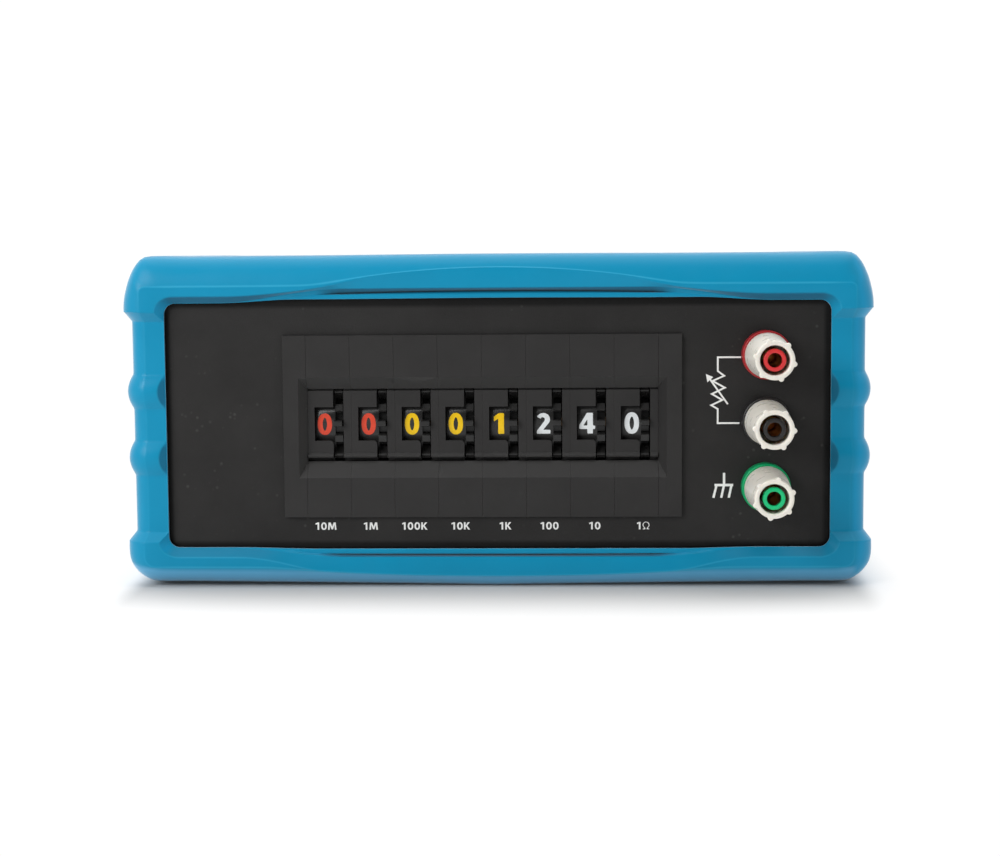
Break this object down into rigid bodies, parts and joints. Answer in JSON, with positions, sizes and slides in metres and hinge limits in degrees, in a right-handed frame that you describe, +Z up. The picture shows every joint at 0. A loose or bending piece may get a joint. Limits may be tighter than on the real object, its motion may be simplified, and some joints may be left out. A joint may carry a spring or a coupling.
{
  "type": "resistance decade box",
  "caption": "Bench resistance decade box with a bank of numbered thumbwheel switches and screw-down socket terminals on a dark panel, in a protective ribbed rubber boot.",
  "frame": {"origin": "middle of the overall box in plan, at the level the boot stands on", "axes": "+Z up, +X to the right as the user faces the panel, -Y out of the front panel towards the user"},
  "size_m": [0.2174, 0.1398, 0.0962],
  "materials": {
    "boot_rubber": "satin blue rubber",
    "case_plastic": "fine spark-eroded black",
    "panel_black": "textured black paint",
    "switch_plastic": "satin black moulding",
    "wheel_plastic": "satin black moulding",
    "spring_bronze": "rolled strip",
    "spring_steel": "rolled strip",
    "steel": "zinc plated",
    "circuit_board": "green glass laminate",
    "resistor_coat": "lacquered",
    "brass": "turned",
    "plated_brass": "nickel plated",
    "tinned_copper": "tinned",
    "ivory_plastic": "ivory moulding",
    "red_plastic": "moulded",
    "black_plastic": "moulded",
    "green_plastic": "moulded",
    "wire_red": "insulation",
    "wire_black": "insulation",
    "wire_green": "insulation"
  },
  "bodies": {
    "root": {"rubber_boot": "boot_rubber", "case_top": "case_plastic", "case_bottom": "case_plastic", "front_panel": "panel_black", "rear_panel": "panel_black", "case_screws": "steel", "switch_body_10m": "switch_plastic", "switch_body_1m": "switch_plastic", "switch_body_100k": "switch_plastic", "switch_body_10k": "switch_plastic", "switch_body_1k": "switch_plastic", "switch_body_100r": "switch_plastic", "switch_body_10r": "switch_plastic", "switch_body_1r": "switch_plastic", "contact_boards": "circuit_board", "detent_springs": "spring_steel", "resistors": "resistor_coat", "link_board": "circuit_board", "end_cheek_left": "switch_plastic", "end_cheek_right": "switch_plastic", "tie_rods": "steel", "tie_rod_nuts": "steel", "collar_red": "red_plastic", "stud_red": "brass", "socket_tip_red": "red_plastic", "collar_black": "black_plastic", "stud_black": "brass", "socket_tip_black": "black_plastic", "collar_green": "green_plastic", "stud_green": "brass", "socket_tip_green": "green_plastic", "post_bushes": "black_plastic", "post_nuts": "plated_brass", "solder_tags": "tinned_copper", "hookup_wire_red": "wire_red", "hookup_wire_black": "wire_black", "hookup_wire_green": "wire_green", "earth_screw": "steel"},
    "wheel_10m": {"thumbwheel_10m": "wheel_plastic", "wiper_10m": "spring_bronze"},
    "wheel_1m": {"thumbwheel_1m": "wheel_plastic", "wiper_1m": "spring_bronze"},
    "wheel_100k": {"thumbwheel_100k": "wheel_plastic", "wiper_100k": "spring_bronze"},
    "wheel_10k": {"thumbwheel_10k": "wheel_plastic", "wiper_10k": "spring_bronze"},
    "wheel_1k": {"thumbwheel_1k": "wheel_plastic", "wiper_1k": "spring_bronze"},
    "wheel_100r": {"thumbwheel_100r": "wheel_plastic", "wiper_100r": "spring_bronze"},
    "wheel_10r": {"thumbwheel_10r": "wheel_plastic", "wiper_10r": "spring_bronze"},
    "wheel_1r": {"thumbwheel_1r": "wheel_plastic", "wiper_1r": "spring_bronze"},
    "washer_red": {"pressure_washer_red": "plated_brass"},
    "knob_red": {"knob_red": "ivory_plastic"},
    "washer_black": {"pressure_washer_black": "plated_brass"},
    "knob_black": {"knob_black": "ivory_plastic"},
    "washer_green": {"pressure_washer_green": "plated_brass"},
    "knob_green": {"knob_green": "ivory_plastic"}
  },
  "joints": [
    {"name": "wheel_10m_turn", "type": "hinge", "parent": "root", "child": "wheel_10m", "pos_m": [-0.04835, -0.0246, 0.0469], "axis": [1, 0, 0], "continuous": true},
    {"name": "wheel_1m_turn", "type": "hinge", "parent": "root", "child": "wheel_1m", "pos_m": [-0.03565, -0.0246, 0.0469], "axis": [1, 0, 0], "continuous": true},
    {"name": "wheel_100k_turn", "type": "hinge", "parent": "root", "child": "wheel_100k", "pos_m": [-0.02295, -0.0246, 0.0469], "axis": [1, 0, 0], "continuous": true},
    {"name": "wheel_10k_turn", "type": "hinge", "parent": "root", "child": "wheel_10k", "pos_m": [-0.01025, -0.0246, 0.0469], "axis": [1, 0, 0], "continuous": true},
    {"name": "wheel_1k_turn", "type": "hinge", "parent": "root", "child": "wheel_1k", "pos_m": [0.00245, -0.0246, 0.0469], "axis": [1, 0, 0], "continuous": true},
    {"name": "wheel_100r_turn", "type": "hinge", "parent": "root", "child": "wheel_100r", "pos_m": [0.01515, -0.0246, 0.0469], "axis": [1, 0, 0], "continuous": true},
    {"name": "wheel_10r_turn", "type": "hinge", "parent": "root", "child": "wheel_10r", "pos_m": [0.02785, -0.0246, 0.0469], "axis": [1, 0, 0], "continuous": true},
    {"name": "wheel_1r_turn", "type": "hinge", "parent": "root", "child": "wheel_1r", "pos_m": [0.04055, -0.0246, 0.0469], "axis": [1, 0, 0], "continuous": true},
    {"name": "washer_red_travel", "type": "slide", "parent": "root", "child": "washer_red", "axis": [0, -1, 0], "range_m": [0, 0.004]},
    {"name": "knob_red_turn", "type": "hinge", "parent": "washer_red", "child": "knob_red", "pos_m": [0.0776, -0.0586, 0.0669], "axis": [0, -1, 0], "range_deg": [0, 1440]},
    {"name": "washer_black_travel", "type": "slide", "parent": "root", "child": "washer_black", "axis": [0, -1, 0], "range_m": [0, 0.004]},
    {"name": "knob_black_turn", "type": "hinge", "parent": "washer_black", "child": "knob_black", "pos_m": [0.0776, -0.0586, 0.04785], "axis": [0, -1, 0], "range_deg": [0, 1440]},
    {"name": "washer_green_travel", "type": "slide", "parent": "root", "child": "washer_green", "axis": [0, -1, 0], "range_m": [0, 0.004]},
    {"name": "knob_green_turn", "type": "hinge", "parent": "washer_green", "child": "knob_green", "pos_m": [0.0776, -0.0586, 0.0288], "axis": [0, -1, 0], "range_deg": [0, 1440]}
  ],
  "couplings": [
    {"joint": "knob_red_turn", "follows": "washer_red_travel", "rad_per_m": 6283.2},
    {"joint": "knob_black_turn", "follows": "washer_black_travel", "rad_per_m": 6283.2},
    {"joint": "knob_green_turn", "follows": "washer_green_travel", "rad_per_m": 6283.2}
  ]
}
